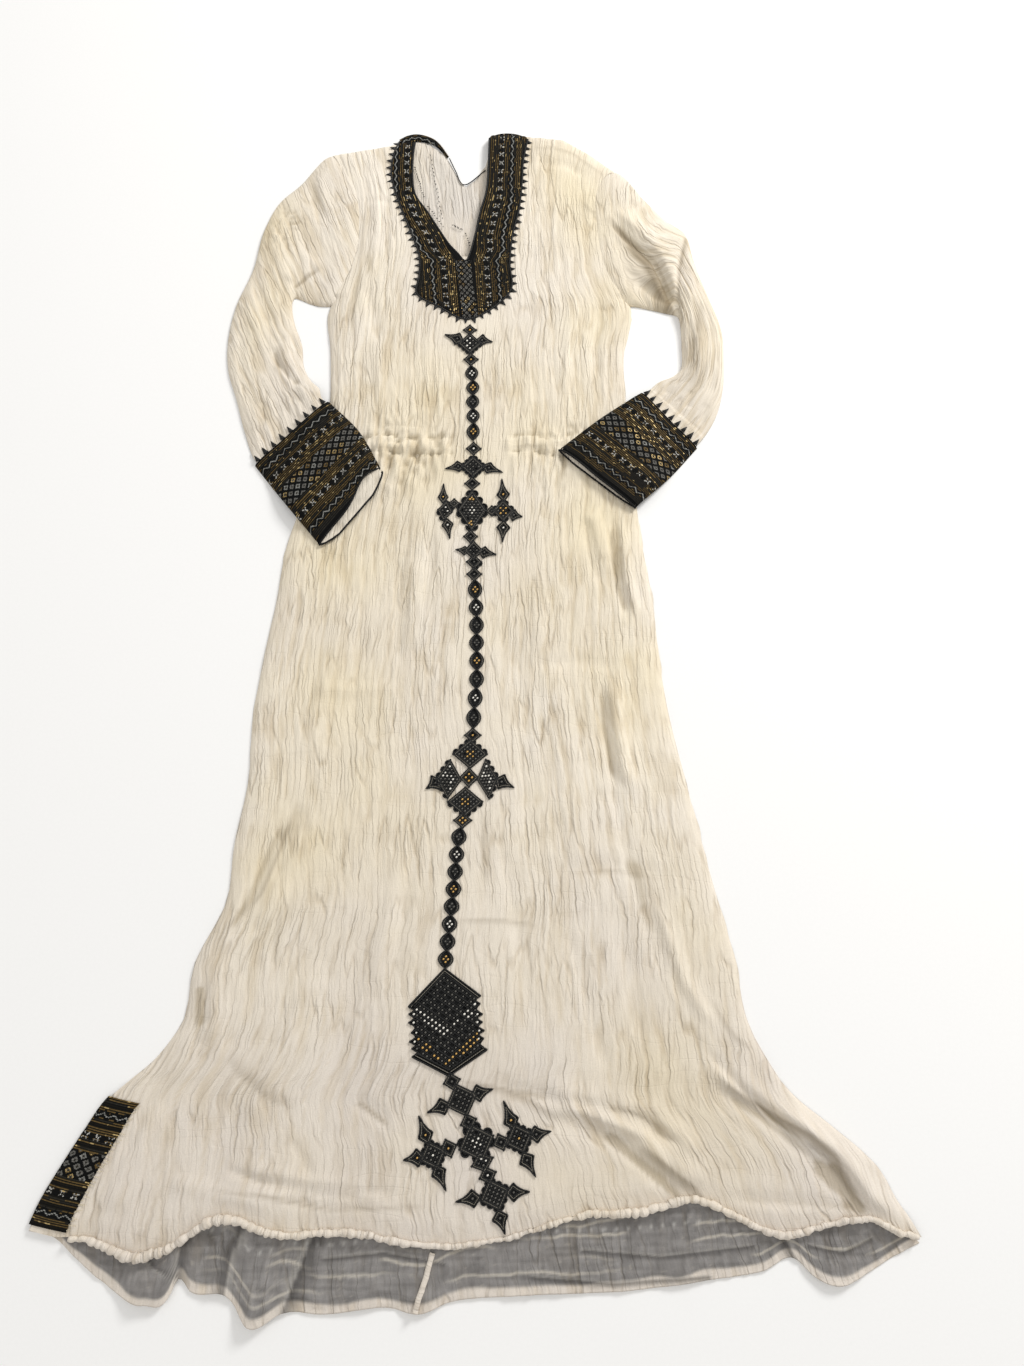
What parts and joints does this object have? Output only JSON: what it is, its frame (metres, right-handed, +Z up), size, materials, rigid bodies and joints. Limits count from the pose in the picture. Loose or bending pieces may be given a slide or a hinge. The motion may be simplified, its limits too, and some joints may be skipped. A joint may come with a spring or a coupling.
{
  "type": "habesha kemis dress",
  "caption": "Long crinkled cotton dress laid flat, with a V neck, dark woven bands at neck, cuffs and hem, and raised cord embroidery down the front.",
  "frame": {"origin": "middle of the bounding box at the underside that rests on the surface", "axes": "+X to the viewer's right, +Y from hem to neck, +Z up through the front of the dress"},
  "size_m": [0.902, 1.4074, 0.0159],
  "materials": {
    "gauze": "matte",
    "tibeb": "matte",
    "cord": "satin"
  },
  "bodies": {
    "root": {"back_neck_band": "tibeb", "back_panel": "gauze", "back_seam": "gauze", "cuff_left": "tibeb", "cuff_right": "tibeb", "embroidery_chain_low": "cord", "embroidery_chain_middle": "cord", "embroidery_chain_top": "cord", "embroidery_cross_hem": "cord", "embroidery_cross_top": "cord", "embroidery_cross_waist": "cord", "embroidery_diamonds": "cord", "embroidery_hexagon": "cord", "front_hem_roll": "gauze", "front_panel": "gauze", "hem_band": "tibeb", "hem_band_side": "tibeb", "neck_band": "tibeb", "sleeve_left": "gauze", "sleeve_right": "gauze", "waist_casing_left": "gauze", "waist_casing_right": "gauze"}
  },
  "joints": []
}
